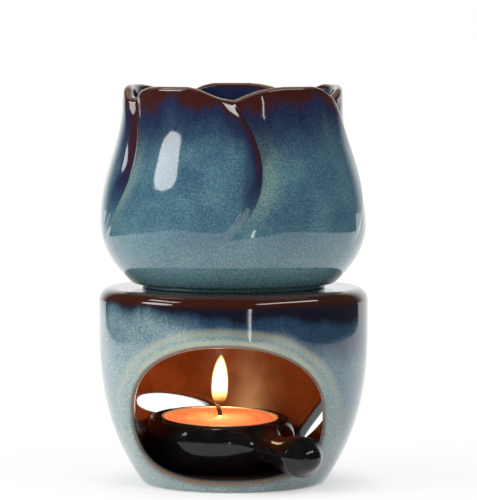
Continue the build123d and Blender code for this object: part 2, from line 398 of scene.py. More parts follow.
class LadleSettings(PropertyGroup):
    """Sizes and glaze colour of the ladle."""
    blend: length("Blend", "Rounding where the neck meets the dish and the knob", 0.0055)
    cell: length("Cell", "Size of the cells that the surface is drawn in", 0.00045)
    glaze: colour("Glaze", "Black glaze", (0.003, 0.003, 0.0034))
    brown: colour("Brown", "Brown tone where the glaze is thin", (0.010, 0.007, 0.006))


class TealightSettings(PropertyGroup):
    """Sizes and colours of the tealight."""
    ribs: number_of("Ribs", "Number of ribs round the cup", 48, 12, 120)
    rib_depth: length("Rib depth", "Depth of the cup's ribs", 0.00012)
    bead: length("Bead", "Radius of the cup's rolled rim", 0.00015)
    seam: length("Seam", "Gap between the wax and the cup", 0.00005)
    brim: length("Brim", "How far the wax stands below the rim", 0.0001)
    pool_depth: length("Pool depth", "Depth of the melted pool", 0.0004)
    mound: length("Mound", "Height of the wax that clings round the wick", 0.0010)
    metal: colour("Metal", "Aluminium of the cup", (0.80, 0.80, 0.81))
    wax: colour("Wax", "Wax of the candle", (0.84, 0.34, 0.23))
    wick: colour("Wick", "Charred wick", (0.018, 0.013, 0.010))
    strands: number_of("Strands", "Strands in the wick", 3, 2, 6)


class FlameSettings(PropertyGroup):
    """Size, colours and light of the flame."""
    height: length("Height", "Height of the flame", 0.0168)
    width: length("Width", "Width of the flame", 0.0059)
    lift: length("Lift", "Height of the flame's foot above the wax", 0.0042)
    heart: colour("Heart", "Bright middle of the flame", (1.0, 0.86, 0.52))
    mantle: colour("Mantle", "Outer layer of the flame", (1.0, 0.36, 0.06))
    light: colour("Light", "Colour of the flame's light", (1.0, 0.47, 0.17))
    power: amount("Power", "Power of the flame's light in watts", 0.029)


class StageSettings(PropertyGroup):
    """Camera, floor and lamps."""
    distance: length("Camera distance", "From the camera to the stove's axis", 1.187)
    height: length("Camera height", "Height of the camera above the floor", 0.154)
    azimuth: angle_of("Azimuth", "Turn of the camera to the right of the front", 3.85)
    lens: amount("Lens", "Focal length in millimetres", 263.2)
    aim_height: length("Aim height", "Height of the point that the camera looks at", 0.0759)
    aim_right: length("Aim right", "How far right of the axis the camera looks", 0.0016)
    world: amount("Surroundings", "Strength of the light from all round", 0.70)
    mirrored: amount("Mirrored front", "Brightness of the room before the burner in reflections", 0.05)
    key: amount("Left softbox", "Brightness of the left softbox", 5.0)
    wash: amount("Left wash", "Brightness of the large diffuse lamp on the left", 6.0)
    dim: amount("Right wash", "Brightness of the large diffuse lamp on the right", 0.9)
    fill: amount("Right softbox", "Brightness of the right softbox", 6.0)
    top: amount("Top softbox", "Brightness of the softbox overhead", 5.0)
    front: amount("Front strip", "Brightness of the strip lamp beside the camera", 7.0)
    floor: colour("Floor", "Colour of the floor", (0.90, 0.90, 0.89))
    table: length("Table", "From the stove's axis to the table's front and sides", 0.45)


# Shaping


def round_corner(first, second, radius):
    """Field of what two fields share, with its edge rounded."""
    outside = np.hypot(np.maximum(radius + first, 0), np.maximum(radius + second, 0))
    return np.minimum(np.maximum(first, second), -radius) + outside


def smooth_join(first, second, blend):
    """Field of two fields together, with a soft fillet between them."""
    mix = np.maximum(blend - np.abs(first - second), 0) / blend
    return np.minimum(first, second) - mix * mix * blend / 4


def oval_distance(across, up, half_width, half_height, fullness):
    """Distance from a full oval in its plane, less than zero inside."""
    x = np.abs(across) / half_width
    z = np.abs(up) / half_height
    tiny = np.finfo(float).eps
    size = (x ** fullness + z ** fullness + tiny) ** (1 / fullness)
    growth = np.hypot(x ** (fullness - 1) / half_width, z ** (fullness - 1) / half_height)
    slope = size ** (1 - fullness) * growth
    return (size - 1) / (slope + tiny)


def gradient_of(field, points, step):
    """Direction in which a field grows fastest at each point."""
    slopes = np.zeros_like(points)
    for axis in range(3):
        shift = np.zeros(3)
        shift[axis] = step
        slopes[:, axis] = field(*(points + shift).T) - field(*(points - shift).T)
    return slopes / (2 * step)


def net_surface(field, low, high, cell):
    """Points and faces of the closed surface where a field is zero, one point in each crossed cell."""
    lines = [np.arange(start - cell, end + 2 * cell, cell) for start, end in zip(low, high)]
    values = field(*np.meshgrid(*lines, indexing="ij", sparse=True))
    shape = tuple(count - 1 for count in values.shape)
    total = np.zeros(shape + (3,))
    hits = np.zeros(shape)
    crossings = []
    for axis in range(3):
        near = np.moveaxis(values, axis, 0)[:-1]
        far = np.moveaxis(values, axis, 0)[1:]
        crossed = np.argwhere(np.moveaxis((near < 0) != (far < 0), 0, axis))
        start = values[tuple(crossed.T)]
        forward = crossed.copy()
        forward[:, axis] += 1
        end = values[tuple(forward.T)]
        places = crossed.astype(float)
        places[:, axis] += start / (start - end)
        others = [other for other in range(3) if other != axis]
        for first in (0, 1):
            for second in (0, 1):
                cells = crossed.copy()
                cells[:, others[0]] -= first
                cells[:, others[1]] -= second
                np.add.at(total, tuple(cells.T), places)
                np.add.at(hits, tuple(cells.T), 1)
        crossings.append((crossed, start < 0, others))
    used = hits > 0
    numbers = np.full(shape, -1)
    numbers[used] = np.arange(used.sum())
    points = total[used] / hits[used][:, None] * cell + [line[0] for line in lines]
    faces = []
    for axis, (crossed, leaves, others) in enumerate(crossings):
        corners = []
        for first, second in ((0, 0), (1, 0), (1, 1), (0, 1)):
            cells = crossed.copy()
            cells[:, others[0]] -= first
            cells[:, others[1]] -= second
            corners.append(numbers[tuple(cells.T)])
        quads = np.stack(corners, axis=1)
        turn_back = leaves if axis == 1 else ~leaves
        quads[turn_back] = quads[turn_back][:, ::-1]
        faces.append(quads)
    for _ in range(3):
        slopes = gradient_of(field, points, cell / 20)
        points -= slopes * (field(*points.T) / (slopes ** 2).sum(1))[:, None]
    return points, np.concatenate(faces)


def new_piece(name, points, faces, material, normals=None):
    """Smooth-shaded mesh object at the origin."""
    mesh = bpy.data.meshes.new(name)
    mesh.from_pydata(np.asarray(points).tolist(), [], [list(face) for face in faces])
    mesh.update()
    mesh.shade_smooth()
    if normals is not None:
        mesh.normals_split_custom_set_from_vertices(normals.tolist())
    mesh.materials.append(material)
    piece = bpy.data.objects.new(name, mesh)
    bpy.context.scene.collection.objects.link(piece)
    return piece


def paint_attribute(piece, name, values):
    """One number for each point, which the material reads."""
    attribute = piece.data.attributes.new(name, "FLOAT", "POINT")
    attribute.data.foreach_set("value", np.asarray(values, np.float32).ravel())


def grid_faces(rows, columns):
    """Quads of a grid whose points are stored row by row."""
    first = (np.arange(rows - 1)[:, None] * columns + np.arange(columns - 1)).ravel()
    return np.stack([first, first + 1, first + columns + 1, first + columns], axis=1)


def turned_copies_tree():
    """Geometry Nodes tree that repeats one sector round the vertical axis and joins the copies."""
    tree = bpy.data.node_groups.new("Turned copies", "GeometryNodeTree")
    face = tree.interface
    face.new_socket("Geometry", in_out="INPUT", socket_type="NodeSocketGeometry")
    face.new_socket("Count", in_out="INPUT", socket_type="NodeSocketInt")
    face.new_socket("Merge distance", in_out="INPUT", socket_type="NodeSocketFloat")
    face.new_socket("Material", in_out="INPUT", socket_type="NodeSocketMaterial")
    face.new_socket("Geometry", in_out="OUTPUT", socket_type="NodeSocketGeometry")
    nodes = tree.nodes
    link = tree.links.new
    given = nodes.new("NodeGroupInput")
    points = nodes.new("GeometryNodePoints")
    index = nodes.new("GeometryNodeInputIndex")
    share = nodes.new("ShaderNodeMath")
    share.operation = "DIVIDE"
    turn = nodes.new("ShaderNodeMath")
    turn.operation = "MULTIPLY"
    turn.inputs[1].default_value = 2 * math.pi
    angles = nodes.new("ShaderNodeCombineXYZ")
    copies = nodes.new("GeometryNodeInstanceOnPoints")
    real = nodes.new("GeometryNodeRealizeInstances")
    merge = nodes.new("GeometryNodeMergeByDistance")
    finish = nodes.new("GeometryNodeSetMaterial")
    made = nodes.new("NodeGroupOutput")
    link(given.outputs["Count"], points.inputs["Count"])
    link(index.outputs[0], share.inputs[0])
    link(given.outputs["Count"], share.inputs[1])
    link(share.outputs[0], turn.inputs[0])
    link(turn.outputs[0], angles.inputs["Z"])
    link(points.outputs[0], copies.inputs["Points"])
    link(given.outputs["Geometry"], copies.inputs["Instance"])
    link(angles.outputs[0], copies.inputs["Rotation"])
    link(copies.outputs[0], real.inputs[0])
    link(real.outputs[0], merge.inputs["Geometry"])
    link(given.outputs["Merge distance"], merge.inputs["Distance"])
    link(merge.outputs[0], finish.inputs["Geometry"])
    link(given.outputs["Material"], finish.inputs["Material"])
    link(finish.outputs[0], made.inputs[0])
    return tree


def repeat_round(piece, count, merge_distance):
    """Turns a one-sector piece into the whole ring, as a plain closed mesh."""
    tree = bpy.data.node_groups.get("Turned copies") or turned_copies_tree()
    values = {"Count": count, "Merge distance": merge_distance, "Material": piece.data.materials[0]}
    modifier = piece.modifiers.new("Turned copies", "NODES")
    modifier.node_group = tree
    for socket in tree.interface.items_tree:
        if socket.in_out == "INPUT" and socket.name in values:
            modifier[socket.identifier] = values[socket.name]
    bpy.context.view_layer.update()
    whole = piece.evaluated_get(bpy.context.evaluated_depsgraph_get())
    mesh = bpy.data.meshes.new_from_object(whole)
    piece.modifiers.clear()
    piece.data = mesh
    mesh.name = piece.name
    mesh.shade_smooth()
    return piece


def seat(piece, body, slot, *nodes):
    """Parents a piece to the body that it rides on and hides the CAD parts that it stands for; slot is
    not used.
    """
    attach(piece, body)
    if nodes:
        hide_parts(*nodes)


# Materials


class Finish:
    """One material's nodes, with short calls that add and join them."""

    def __init__(self, name):
        self.material = bpy.data.materials.new(name)
        self.material.use_nodes = True
        self.tree = self.material.node_tree
        self.tree.nodes.clear()
        self.output = self.tree.nodes.new("ShaderNodeOutputMaterial")
        self.places = self.tree.nodes.new("ShaderNodeTexCoord").outputs["Object"]

    def add(self, kind, inputs, **settings):
        node = self.tree.nodes.new(kind)
        for name, value in settings.items():
            setattr(node, name, value)
        for name, value in inputs.items():
            if isinstance(value, bpy.types.NodeSocket):
                self.tree.links.new(value, node.inputs[name])
            else:
                node.inputs[name].default_value = value
        return node

    def math(self, operation, first, second=0.0, third=0.0):
        inputs = {0: first, 1: second, 2: third}
        return self.add("ShaderNodeMath", inputs, operation=operation).outputs[0]

    def times(self, first, second):
        return self.math("MULTIPLY", first, second)

    def plus(self, first, second):
        return self.math("ADD", first, second)

    def attribute(self, name):
        return self.add("ShaderNodeAttribute", {}, attribute_name=name).outputs["Fac"]

    def noise(self, size, detail=3.0, stretch=(1.0, 1.0, 1.0), roughness=0.5):
        """Cloudy pattern from 0 to 1 with blots of a size in metres."""
        scaled = self.add("ShaderNodeMapping", {"Vector": self.places, "Scale": stretch}).outputs[0]
        inputs = {"Vector": scaled, "Scale": 1 / size, "Detail": detail, "Roughness": roughness}
        return self.add("ShaderNodeTexNoise", inputs).outputs["Fac"]

    def span(self, value, start, end, low=0.0, high=1.0):
        """Smooth step from low at start to high at end."""
        inputs = {"Value": value, "From Min": start, "From Max": end, "To Min": low, "To Max": high}
        return self.add("ShaderNodeMapRange", inputs, interpolation_type="SMOOTHSTEP").outputs[0]

    def mix(self, factor, low, high, blend="MIX"):
        """Mix of two colours, each a socket or three numbers."""
        colours = [value if isinstance(value, bpy.types.NodeSocket) else (*value[:3], 1.0)
                   for value in (low, high)]
        inputs = {0: factor, 6: colours[0], 7: colours[1]}
        node = self.add("ShaderNodeMix", inputs, data_type="RGBA", blend_type=blend)
        return node.outputs[2]

    def layer(self, below, tone, cover, strength=1.0):
        """Tone laid over another, as strongly as it covers."""
        if strength < 1:
            cover = self.times(cover, strength)
        return self.mix(cover, below, tone)

    def bump(self, *layers):
        """Normal from layers of height; each is a height from 0 to 1 and its depth in metres."""
        normal = None
        for height, depth in layers:
            inputs = {"Height": height, "Distance": depth, "Strength": 1.0}
            if normal is not None:
                inputs["Normal"] = normal
            normal = self.add("ShaderNodeBump", inputs).outputs[0]
        return normal

    def shade(self, **inputs):
        """Principled shader with these inputs, named with underscores for spaces."""
        named = {name.replace("_", " "): value for name, value in inputs.items()}
        shader = self.add("ShaderNodeBsdfPrincipled", named)
        self.tree.links.new(shader.outputs[0], self.output.inputs["Surface"])
        return self.material


def mottled(paint, base, size=SPECKLE_SIZE):
    """Breaks a colour up into the fine darker and paler grains of a reactive glaze."""
    grain = paint.noise(size, detail=3.0, roughness=0.75)
    for shares, tint in ((DARK_GRAIN_SHARES, DARK_GRAIN), (PALE_GRAIN_SHARES, PALE_GRAIN)):
        tint = paint.mix(paint.span(grain, *shares, low=0.0, high=SPECKLE_SHARE), WHITE, tint)
        base = paint.mix(1.0, base, tint, "MULTIPLY")
    return base


def glaze_bump(paint):
    """Slow waves and fine pits of a fired glaze."""
    waves = paint.noise(WAVE_SIZE, detail=1.0)
    pits = paint.noise(PIT_SIZE, detail=2.0)
    return paint.bump((waves, WAVE_DEPTH), (pits, PIT_DEPTH))


def glaze_sheen(paint):
    """Roughness of a gloss glaze, a little uneven."""
    return paint.span(paint.noise(SHEEN_SIZE), *MIDDLE_SHARES, low=0.05, high=0.10)


def ring_between(paint, gap, start, end):
    """Cover of a ring that comes in over start and goes out over end."""
    return paint.times(paint.span(gap, *start), paint.span(gap, *end))


def bowl_glaze(s):
    """Blue-green glaze that turns dark blue, then brown, where it is thin near the petals' edges."""
    paint = Finish("Bowl glaze")
    drip = paint.noise(BOWL_DRIP_SIZE, detail=4.0, stretch=DRAWN_OUT)
    wander = paint.math("SUBTRACT", drip, 0.5)
    height = paint.attribute("height")
    drop = paint.attribute("rim_drop")
    rim = paint.plus(drop, paint.times(wander, RIM_WANDER))
    edge = paint.plus(paint.attribute("to_right"), paint.times(wander, EDGE_WANDER))
    cloud = paint.noise(BOWL_CLOUD_SIZE, detail=5.0)
    shown = paint.mix(paint.span(cloud, *BOWL_CLOUD_SHARES), s.body, s.pale)
    shown = paint.layer(shown, s.low, paint.span(height, *LOW_HEIGHT), strength=0.6)
    valley = paint.span(paint.attribute("from_left"), *VALLEY_WIDTH)
    valley = paint.times(valley, paint.span(height, *VALLEY_HEIGHT))
    shown = paint.layer(shown, s.valley, valley, strength=0.8)
    shown = paint.layer(shown, s.shade, paint.span(rim, *SHADE_DROP))
    shown = mottled(paint, shown)
    side = paint.times(paint.span(edge, *SHADE_WIDTH), paint.span(height, *SHADE_HEIGHT))
    shown = paint.layer(shown, s.shade, side)
    side = paint.times(paint.span(edge, *BROWN_WIDTH), paint.span(height, *BROWN_HEIGHT))
    shown = paint.layer(shown, s.rim, side, strength=0.85)
    shown = paint.layer(shown, s.rim, paint.span(rim, *BROWN_DROP))
    inside = paint.span(paint.attribute("inside"), *HOLLOW_SHARES)
    shown = paint.layer(shown, s.shade, paint.times(inside, paint.span(rim, *HOLLOW_DROP)))
    shown = paint.layer(shown, s.lip, paint.span(drop, *LIP_DROP), strength=0.5)
    return paint.shade(Base_Color=shown, Roughness=glaze_sheen(paint), Normal=glaze_bump(paint),
                       IOR=1.52, Coat_Weight=0.6, Coat_Roughness=0.03)


def stove_side_tones(paint, s, place, wander, cloud):
    """Pale side with bluer patches, under the blue band and the dark shoulder; painted shade makes the
    right side bluer and brings both bands lower there.
    """
    # Painted shade: both bands reach lower towards the right
    leaning = paint.math("MULTIPLY_ADD", place["X"], BAND_RIGHT_SHADE_SLOPE, place["Z"])
    low = paint.plus(leaning, wander)
    leaning = paint.math("MULTIPLY_ADD", place["X"], SHOULDER_RIGHT_SHADE_SLOPE, place["Z"])
    high = paint.plus(leaning, paint.times(wander, SHOULDER_WANDER_SHARE))
    shown = paint.mix(paint.span(cloud, *STOVE_CLOUD_SHARES), s.side, s.side_blue)
    # Painted shade: bluer towards the right
    shown = paint.mix(paint.span(place["X"], *RIGHT_SHADE_ACROSS, low=0.0, high=0.85), shown, s.side_blue)
    shown = paint.layer(shown, s.band, paint.span(low, *BAND_HEIGHT))
    shown = paint.layer(shown, s.shoulder, paint.span(high, *SHOULDER_HEIGHT))
    return mottled(paint, shown)


def opening_tones(paint, s, shown, near, height, cloud):
    """Rings of glaze that ran round the opening, and the brown of its sill."""
    ring = ring_between(paint, near, OUTER_RING_START, OUTER_RING_END)
    ring = paint.times(ring, paint.span(height, *OUTER_RING_HEIGHT, low=0.25, high=0.50))
    shown = paint.layer(shown, s.halo, ring)
    margin = ring_between(paint, near, MARGIN_START, MARGIN_END)
    shown = paint.layer(shown, mottled(paint, s.margin), margin, strength=0.55)
    ring = ring_between(paint, near, INNER_RING_START, INNER_RING_END)
    ring = paint.times(ring, paint.span(height, *INNER_RING_HEIGHT, low=0.10, high=0.80))
    ring = paint.times(ring, paint.span(cloud, *INNER_RING_CLOUD_SHARES, low=0.6, high=1.0))
    shown = paint.layer(shown, s.halo, ring)
    sill = paint.times(paint.span(near, *SILL_WIDTH), paint.span(height, *SILL_HEIGHT))
    return paint.layer(shown, s.sill, sill, strength=0.90)


def stove_glaze(s):
    """Pale blue-grey glaze with a dark shoulder, a brown top edge and an amber inside, with painted
    shade on the right side and towards the inside's floor.
    """
    paint = Finish("Stove glaze")
    drip = paint.noise(STOVE_DRIP_SIZE, detail=4.0, stretch=DRAWN_OUT)
    wander = paint.times(paint.math("SUBTRACT", drip, 0.5), STOVE_WANDER)
    place = paint.add("ShaderNodeSeparateXYZ", {0: paint.places}).outputs
    gap = paint.attribute("opening_gap")
    depth = paint.attribute("depth")
    cloud = paint.noise(STOVE_CLOUD_SIZE, detail=5.0)
    shown = stove_side_tones(paint, s, place, wander, cloud)
    top = paint.math("MULTIPLY_ADD", wander, TOP_WANDER_SHARE, place["Z"])
    shown = paint.layer(shown, s.rim, paint.span(top, *BROWN_TOP_HEIGHT))
    near = paint.plus(gap, paint.times(wander, RING_WANDER_SHARE))
    shown = opening_tones(paint, s, shown, near, place["Z"], cloud)
    arris = paint.math("SUBTRACT", paint.math("SUBTRACT", gap, depth), ARRIS_PLACE)
    arris = paint.span(paint.math("ABSOLUTE", arris), *ARRIS_WIDTH)
    arris = paint.times(arris, paint.span(depth, *ARRIS_DEPTH))
    shown = paint.layer(shown, s.edge, arris, strength=0.9)
    reveal = mottled(paint, s.reveal, REVEAL_SPECKLE_SIZE)
    shown = paint.layer(shown, reveal, paint.span(depth, *REVEAL_DEPTH), strength=0.85)
    smoke = paint.span(paint.noise(SMOKE_SIZE), *MIDDLE_SHARES)
    inside = paint.mix(smoke, s.soot, s.inside)
    # Painted shade: the inside turns darker towards the stove's floor
    inside = paint.mix(paint.span(place["Z"], *PAINTED_FLOOR_SHADE_HEIGHT, low=0.0, high=0.8), inside, s.painted_floor_shade)
    shown = paint.layer(shown, inside, paint.span(depth, *AMBER_DEPTH))
    rough = paint.plus(glaze_sheen(paint), paint.span(depth, *DULL_DEPTH, low=0.0, high=0.13))
    coat = paint.span(depth, *DULL_DEPTH, low=0.6, high=0.0)
    return paint.shade(Base_Color=shown, Roughness=rough, Normal=glaze_bump(paint), IOR=1.52,
                       Coat_Weight=coat, Coat_Roughness=0.03)


def ladle_glaze(s):
    """Gloss black glaze, slightly brown where it is thin."""
    paint = Finish("Ladle glaze")
    thin = paint.span(paint.noise(THIN_GLAZE_SIZE, detail=4.0), *THIN_GLAZE_SHARES)
    rough = paint.span(paint.noise(LADLE_SHEEN_SIZE), *MIDDLE_SHARES, low=0.05, high=0.12)
    return paint.shade(Base_Color=paint.mix(thin, s.glaze, s.brown), Roughness=rough,
                       Normal=glaze_bump(paint), IOR=1.48)


def cup_metal(s):
    """Thin drawn aluminium with faint drawing marks."""
    paint = Finish("Cup aluminium")
    marks = paint.noise(DRAWN_MARK_SIZE, stretch=MARKS_DRAWN_OUT)
    shown = paint.mix(paint.span(marks, *MIDDLE_SHARES), s.metal, DULL_ALUMINIUM)
    rough = paint.span(marks, *MIDDLE_SHARES, low=0.36, high=0.44)
    return paint.shade(Base_Color=shown, Roughness=rough, Metallic=1.0,
                       Normal=paint.bump((marks, DRAWN_MARK_DEPTH)))


def sustainer_metal():
    """Dull tinned steel of the wick's foot."""
    paint = Finish("Wick foot steel")
    marks = paint.noise(TINNED_MARK_SIZE)
    shown = paint.mix(paint.span(marks, *MIDDLE_SHARES), DARK_STEEL, PALE_STEEL)
    rough = paint.span(marks, *MIDDLE_SHARES, low=0.35, high=0.5)
    return paint.shade(Base_Color=shown, Roughness=rough, Metallic=1.0,
                       Normal=paint.bump((marks, TINNED_MARK_DEPTH)))


def candle_wax(s):
    """Cloudy wax that lets light through, wet and smooth in its melted pool."""
    paint = Finish("Candle wax")
    cloud = paint.noise(WAX_CLOUD_SIZE, detail=4.0)
    pool = paint.attribute("pool")
    shown = paint.mix(paint.span(cloud, *MIDDLE_SHARES), s.wax, CLOUDY_WAX)
    shown = paint.layer(shown, MELTED_WAX, pool, strength=0.15)
    rough = paint.span(paint.plus(pool, cloud), *WET_SHARES, low=0.40, high=0.20)
    return paint.shade(Base_Color=shown, Roughness=rough, Normal=paint.bump((cloud, WAX_CLOUD_DEPTH)),
                       IOR=1.44, Subsurface_Weight=0.7, Subsurface_Scale=WAX_LIGHT_REACH,
                       Subsurface_Radius=WAX_LIGHT_SHARES)


def charred_wick(s):
    """Charred cotton with a glowing tip."""
    paint = Finish("Charred wick")
    ash = paint.noise(ASH_SIZE, detail=4.0)
    shown = paint.mix(paint.span(ash, *ASH_SHARES), s.wick, ASH)
    glow = paint.span(paint.attribute("tip"), *GLOW_SHARES)
    return paint.shade(Base_Color=shown, Roughness=paint.span(ash, *MIDDLE_SHARES, low=0.8, high=0.95),
                       Normal=paint.bump((ash, ASH_DEPTH)), Emission_Color=(*GLOWING_TIP, 1.0),
                       Emission_Strength=paint.times(glow, TIP_GLOW))


def flame_layer(name, low, high, strength, clear_shares):
    """Glowing layer whose colour runs from low at its foot to high, clear at its foot."""
    paint = Finish(name)
    flicker = paint.math("SUBTRACT", paint.noise(FLICKER_SIZE, detail=2.0), 0.5)
    rise = paint.plus(paint.attribute("rise"), paint.times(flicker, FLICKER_SHARE))
    shown = paint.mix(paint.span(rise, *FLAME_TONE_SHARES), low, high)
    return paint.shade(Base_Color=(*BLACK, 1.0), Roughness=1.0, Specular_IOR_Level=0.0,
                       Emission_Color=shown, Emission_Strength=strength,
                       Alpha=paint.span(rise, *clear_shares))


def floor_finish(s):
    """Pale floor that stays white to the camera and in reflections, and keeps the shadow."""
    paint = Finish("Pale floor")
    dull = [FLOOR_CLOUD_SHARE * part for part in s.floor]
    mottle = paint.mix(paint.span(paint.noise(FLOOR_CLOUD_SIZE), *MIDDLE_SHARES), s.floor, dull)
    matte = paint.add("ShaderNodeBsdfDiffuse", {"Color": mottle})
    glow = paint.add("ShaderNodeEmission", {"Color": (*WHITE, 1.0), "Strength": 1.0})
    rays = paint.add("ShaderNodeLightPath", {})
    seen = paint.math("MAXIMUM", rays.outputs["Is Camera Ray"], rays.outputs["Is Glossy Ray"])
    seen = paint.math("MAXIMUM", seen, rays.outputs["Is Transmission Ray"])
    away = paint.add("ShaderNodeVectorMath", {0: paint.places}, operation="LENGTH").outputs["Value"]
    share = paint.plus(paint.span(away, *FLOOR_NEAR, *FLOOR_NEAR_SHARES),
                       paint.span(away, *FLOOR_FAR, *FLOOR_FAR_SHARES))
    share = paint.times(seen, share)
    mixed = paint.add("ShaderNodeMixShader", {0: share, 1: matte.outputs[0], 2: glow.outputs[0]})
    paint.tree.links.new(mixed.outputs[0], paint.output.inputs["Surface"])
    return paint.material


# Stove


def stove_side(x, y, z, inset):
    """Distance from the stove's side, moved inwards by inset."""
    below = np.maximum(1 - z / STOVE_BELLY_HEIGHT, 0)
    growth = STOVE_RADIUS - STOVE_FOOT_RADIUS
    slope = growth * STOVE_FULLNESS / STOVE_BELLY_HEIGHT * below ** (STOVE_FULLNESS - 1)
    radius = STOVE_RADIUS - growth * below ** STOVE_FULLNESS
    return (np.hypot(x, y) - radius + inset) / np.sqrt(1 + slope ** 2)


def stove_outside(x, y, z, s):
    """Field of the stove as if it were solid."""
    outer = round_corner(stove_side(x, y, z, 0), z - STOVE_HEIGHT, s.top_rounding)
    return round_corner(outer, -z, STOVE_FOOT_ROUNDING)


def opening_gap(x, z):
    """Distance outside the candle opening's outline, seen from the front."""
    up = z - OPENING_SILL - OPENING_HEIGHT / 2
    top = oval_distance(x, up, OPENING_WIDTH / 2, OPENING_HEIGHT / 2, OPENING_TOP_FULLNESS)
    bottom = oval_distance(x, up, OPENING_WIDTH / 2, OPENING_HEIGHT / 2, OPENING_BOTTOM_FULLNESS)
    return np.where(up > 0, top, bottom)


def slit_gap(x, y, z, turn, slant):
    """Distance from one slanted air slit in the back."""
    across = math.cos(turn) * x + math.sin(turn) * y
    back = math.cos(turn) * y - math.sin(turn) * x
    up = z - SLIT_HEIGHT
    along = math.cos(slant) * across - math.sin(slant) * up
    aside = math.sin(slant) * across + math.cos(slant) * up
    return np.maximum(oval_distance(along, aside, SLIT_LENGTH / 2, SLIT_WIDTH / 2, PLAIN_OVAL), -back)


def stove_field(x, y, z, s):
    """Field of the whole stove."""
    ceiling = STOVE_HEIGHT - STOVE_ROOF
    cavity = round_corner(stove_side(x, y, z, s.wall), STOVE_FLOOR - z, CAVITY_FLOOR_ROUNDING)
    cavity = round_corner(cavity, z - ceiling, CAVITY_ROOF_ROUNDING)
    field = np.maximum(stove_outside(x, y, z, s), -cavity)
    hole = np.maximum(np.hypot(x, y) - HEAT_HOLE_RADIUS, STOVE_HEIGHT / 2 - z)
    field = round_corner(field, -hole, HEAT_HOLE_ROUNDING)
    recess = np.maximum(np.hypot(x, y) - STOVE_FOOT_RADIUS + FOOT_RING_WIDTH, z - FOOT_RECESS)
    field = np.maximum(field, -recess)
    opening = np.maximum(opening_gap(x, z), y)
    field = round_corner(field, -opening, s.opening_rounding)
    for turn, slant in zip(SLIT_TURNS, SLIT_SLANTS):
        field = round_corner(field, -slit_gap(x, y, z, turn, slant), SLIT_ROUNDING)
    return field


def make_stove(s):
    """Whole stove in one body, with what its glaze needs to know of each point."""
    def field(x, y, z):
        return stove_field(x, y, z, s)

    points, faces = net_surface(field, STOVE_LOW, STOVE_HIGH, s.cell)
    normals = gradient_of(field, points, s.cell / 4)
    piece = new_piece("stove_body", points, faces, stove_glaze(s), normals)
    x, y, z = points.T
    paint_attribute(piece, "opening_gap", np.where(y < 0, opening_gap(x, z), STOVE_RADIUS))
    above = round_corner(stove_side(x, y, z, 0), z - STOVE_HEIGHT, s.top_rounding)
    paint_attribute(piece, "depth", -np.where(z < STOVE_FLOOR / 2, stove_outside(x, y, z, s), above))
    seat(piece, "stove", "stove_glaze", "stove_base")


# Bowl


def bowl_radius_at(height):
    """Outer radius of the bowl, without its petals."""
    below = np.maximum(1 - height / BOWL_BELLY, 0)
    heel = BOWL_RADIUS - (BOWL_RADIUS - BOWL_HEEL_RADIUS) * below ** BOWL_FULLNESS
    rise = np.clip((height - BOWL_BELLY) / (BOWL_WAIST - BOWL_BELLY), 0, 1)
    swell = (1 + np.cos(math.pi * rise)) / 2
    upper = BOWL_WAIST_RADIUS + (BOWL_RADIUS - BOWL_WAIST_RADIUS) * swell
    return np.where(height < BOWL_BELLY, heel, upper)


def tuck_at(height, s):
    """How far a petal's left side lies under its neighbour."""
    rise = np.clip((height - PETAL_TUCK_LOW) / (PETAL_TUCK_HIGH - PETAL_TUCK_LOW), 0, 1)
    return s.tuck * rise * rise * (3 - 2 * rise)


def petal_turn_at(height):
    """Turn of a petal's left edge at a height above the bowl's foot."""
    away = (height - PETAL_BEND_HEIGHT) / PETAL_BEND_SPAN
    return PETAL_TURN + PETAL_REACH - PETAL_BEND * away * away


def outer_radius(share, height, s):
    """Radius of a petal's outside, tucked in at its left and rounded off at its right edge."""
    tuck = tuck_at(height, s)
    under = np.maximum(1 - share / TUCK_WIDTH_SHARE, 0)
    petal_width = 2 * math.pi * bowl_radius_at(height) / s.petals
    turn_in = np.clip(1 - (1 - share) * petal_width / s.roll, 0, 1)
    turn_in = turn_in ** 2 * (2 - turn_in)
    return bowl_radius_at(height) - tuck * np.maximum(under ** 2, turn_in)


def lean_draw(drop, s):
    """How far the outside has leaned in at a drop below the rim."""
    risen = np.maximum(s.lean_start - drop, 0) / s.lean_blend
    return math.tan(s.lean) * s.lean_blend * np.where(risen < 1, risen * risen / 2, risen - 0.5)


def inner_radius(share, height, s):
    """Radius of the bowl's hollow behind a petal."""
    floor = BOWL_FOOT_DEPTH + BOWL_BOTTOM
    low = np.clip(1 - (height - floor) / BOWL_FLOOR_ROUNDING, 0, 1)
    corner = BOWL_FLOOR_ROUNDING * (1 - np.sqrt(1 - low * low))
    after = np.maximum(1 - share / TUCK_WIDTH_SHARE, 0)
    before = np.maximum(1 - (1 - share) / EDGE_WIDTH_SHARE, 0)
    drawn = tuck_at(height, s) * np.maximum(after * after, before * before)
    return bowl_radius_at(height) - s.wall - corner - drawn


def rim_height(share, s):
    """Height of the rim, which dips where a petal tucks under the next."""
    span = 2 * math.pi / s.petals
    notch_turn = petal_turn_at(np.array(BOWL_HEIGHT - s.notch_depth)) + NOTCH_TURN
    fine = np.linspace(-0.5, 0.5, NOTCH_STEPS)
    rough = np.interp(fine, np.array(NOTCH_PLACE_SHARES), np.array(NOTCH_DEPTH_SHARES))
    kernel = np.hanning(2 * NOTCH_SOFTENING + 1)
    padded = np.pad(rough, NOTCH_SOFTENING, mode="edge")
    smooth = np.convolve(padded, kernel / kernel.sum(), mode="valid")
    height = np.full(share.shape, BOWL_HEIGHT)
    for _ in range(RIM_PASSES):
        place = share + (petal_turn_at(height) - notch_turn) / span
        place = (place + 0.5) % 1.0 - 0.5
        height = BOWL_HEIGHT - s.notch_depth * np.interp(place, fine, smooth)
    return height


